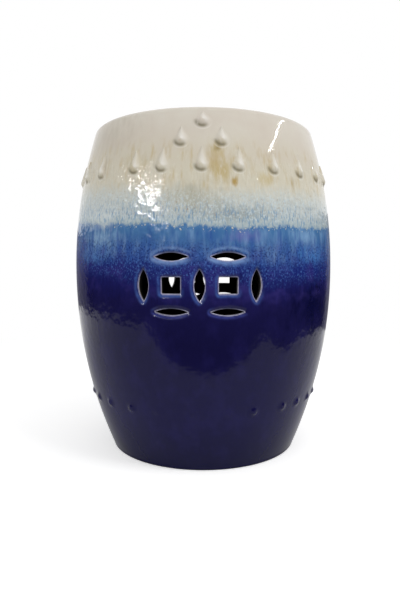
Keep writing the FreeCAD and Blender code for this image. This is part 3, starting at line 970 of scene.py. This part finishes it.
# The pale sheet that the photographed stool stands on ends this far out at each turn, and a dark room
# lies beyond it, which only the gloss mirrors
room = {
    "sheet": (
        (-180, 1.50), (-143, 1.94), (-122, 1.35), (-101, 1.12), (-79, 0.96), (-62, 0.79), (-45, 0.77),
        (-34, 0.54), (-26, 0.43), (-15, 0.38), (0, 0.35), (10, 0.345), (20, 0.375), (33, 0.43), (42, 0.54),
        (50, 0.60), (58, 0.52), (69, 0.50), (87, 0.65), (103, 0.72), (126, 0.90), (150, 1.10), (180, 1.50),
    ),
    # it has walls between these turns, which end about level with the seat, so that the seat doesn't
    # mirror them, and behind the stool it runs on flat as far as this
    "walls": (-165, 172), "radius": 1.15, "height": 0.44, "back": 2.4,
    "tone": "#1c1c1e", "greyTone": "#8d8c96", "greyFrom": (-113, 133),     # paler where it turns to the back
    # its inner ring is drawn in to this share, its walls clear the sheet, and it clears the floor
    "segments": 120, "inset": 0.5, "margin": 0.05, "above": 0.002,
    "low": 0.01,            # what counts as lying on the floor
}


def makeDarkRoom():
    first, last = room["walls"]
    bpy.ops.mesh.primitive_circle_add(vertices=room["segments"], radius=room["radius"], location=(0, 0, 0))
    cloth = bpy.context.object
    cloth.name = "darkRoom"
    bpy.ops.object.mode_set(mode="EDIT")
    bpy.ops.mesh.select_mode(type="VERT")
    bpy.ops.mesh.select_all(action="SELECT")
    bpy.ops.mesh.extrude_edges_move(TRANSFORM_OT_translate={"value": (0, 0, room["height"])})
    mesh = bmesh.from_edit_mesh(cloth.data)
    for vertex in mesh.verts:
        vertex.select_set(vertex.co.z < room["low"])
    mesh.select_flush(True)
    bmesh.update_edit_mesh(cloth.data)
    bpy.ops.mesh.extrude_edges_move(TRANSFORM_OT_translate={"value": (0, 0, 0)})
    bpy.ops.transform.resize(value=(room["inset"], room["inset"], 1), center_override=(0, 0, 0))
    bpy.ops.mesh.select_all(action="DESELECT")
    bpy.ops.mesh.select_mode(type="FACE")
    mesh = bmesh.from_edit_mesh(cloth.data)
    for face in mesh.faces:
        middle = face.calc_center_median()
        face.select_set(middle.z > room["low"] and not first < turnOf(middle) < last)
    bmesh.update_edit_mesh(cloth.data)
    bpy.ops.mesh.delete(type="FACE")
    bpy.ops.object.mode_set(mode="OBJECT")
    points = coordinates(cloth.data)
    radius = np.hypot(points[:, 0], points[:, 1])
    turns = np.degrees(np.arctan2(points[:, 0], -points[:, 1]))
    edge = np.interp(turns, *zip(*room["sheet"]))
    walled = (turns > first) & (turns < last)
    outer = np.where(walled, np.maximum(room["radius"], edge + room["margin"]), room["back"])
    halfway = room["radius"] * (1 + room["inset"]) / 2
    points[:, :2] *= (np.where(radius < halfway, edge, outer) / radius)[:, None]
    points[:, 2] += room["above"]
    storeCoordinates(cloth.data, points)
    for name, tone in (("darkCloth", room["tone"]), ("greyCloth", room["greyTone"])):
        made, tree = newMaterial(name)
        matt = addNode(tree, "ShaderNodeBsdfDiffuse", {"Color": tone})[0]
        addNode(tree, "ShaderNodeOutputMaterial", {"Surface": matt})
        cloth.data.materials.append(made)
    first, last = room["greyFrom"]
    for face in cloth.data.polygons:
        face.material_index = 0 if first < turnOf(face.center) < last else 1
    cloth.visible_camera = False
    cloth.visible_diffuse = False
    cloth.visible_shadow = False
    cloth.visible_transmission = False


lamps = {
    # soft lamps that light the stool and face this place
    "soft": {
        "key": {"place": (1.5, -1.0, 2.1), "size": (1.0, 1.0), "power": 21.5},
        "fill": {"place": (-1.2, -1.8, 0.8), "size": (1.2, 1.2), "power": 6.0},
    },
    "softAim": (0, 0, 0.25),
    # strips that run between two places and show in the gloss alone: the window's light and its bar
    # at the left, and the thin line at the upper right
    "strips": {
        "window": {"from": (-1.27, -0.71, 1.06), "to": (-0.80, -1.41, 0.66), "width": 0.036, "power": 26.0},
        "bar": {"from": (-1.18, -0.60, 0.875), "to": (-0.82, -1.06, 0.875), "width": 0.012, "power": 3.5},
        "edge": {"from": (1.26, 0.24, 1.32), "to": (1.29, -0.54, 1.24), "width": 0.012, "power": 2.3},
    },
    "stripAim": (0, 0, 0.33),
    "ambient": 0.66,        # the white world's strength where it isn't seen
}


def addLamp(name, place, turned, size, power):
    bpy.ops.object.light_add(type="AREA", location=place, rotation=turned.to_euler())
    lamp = bpy.context.object
    lamp.name = name + "Light"
    lamp.data.shape = "RECTANGLE"
    lamp.data.size, lamp.data.size_y = size
    lamp.data.energy = power
    return lamp


def makeLights():
    for name, sizes in lamps["soft"].items():
        place = Vector(sizes["place"])
        turned = (Vector(lamps["softAim"]) - place).to_track_quat("-Z", "Y").to_matrix()
        addLamp(name, place, turned, sizes["size"], sizes["power"]).visible_glossy = False
    for name, sizes in lamps["strips"].items():
        start, end = Vector(sizes["from"]), Vector(sizes["to"])
        place = (start + end) / 2
        along = (end - start).normalized()
        back = place - Vector(lamps["stripAim"])
        back = (back - along * back.dot(along)).normalized()
        turned = Matrix((along, back.cross(along), back)).transposed()
        lamp = addLamp(name, place, turned, ((end - start).length, sizes["width"]), sizes["power"])
        lamp.visible_diffuse = False


def makeWorld():
    world = bpy.data.worlds.new("studio")
    bpy.context.scene.world = world
    world.use_nodes = True
    tree = world.node_tree
    tree.nodes.clear()
    path = addNode(tree, "ShaderNodeLightPath", {})
    strength = addNode(tree, "ShaderNodeMix", {
        0: seenDirectly(tree, path), 2: lamps["ambient"], 3: 1.0})[0]
    glow = addNode(tree, "ShaderNodeBackground", {"Color": "#ffffff", "Strength": strength})[0]
    addNode(tree, "ShaderNodeOutputWorld", {"Surface": glow})


makeFloor()
makeDarkRoom()
makeLights()
makeWorld()
bpy.context.scene.view_settings.view_transform = "Standard"
print("studio made")
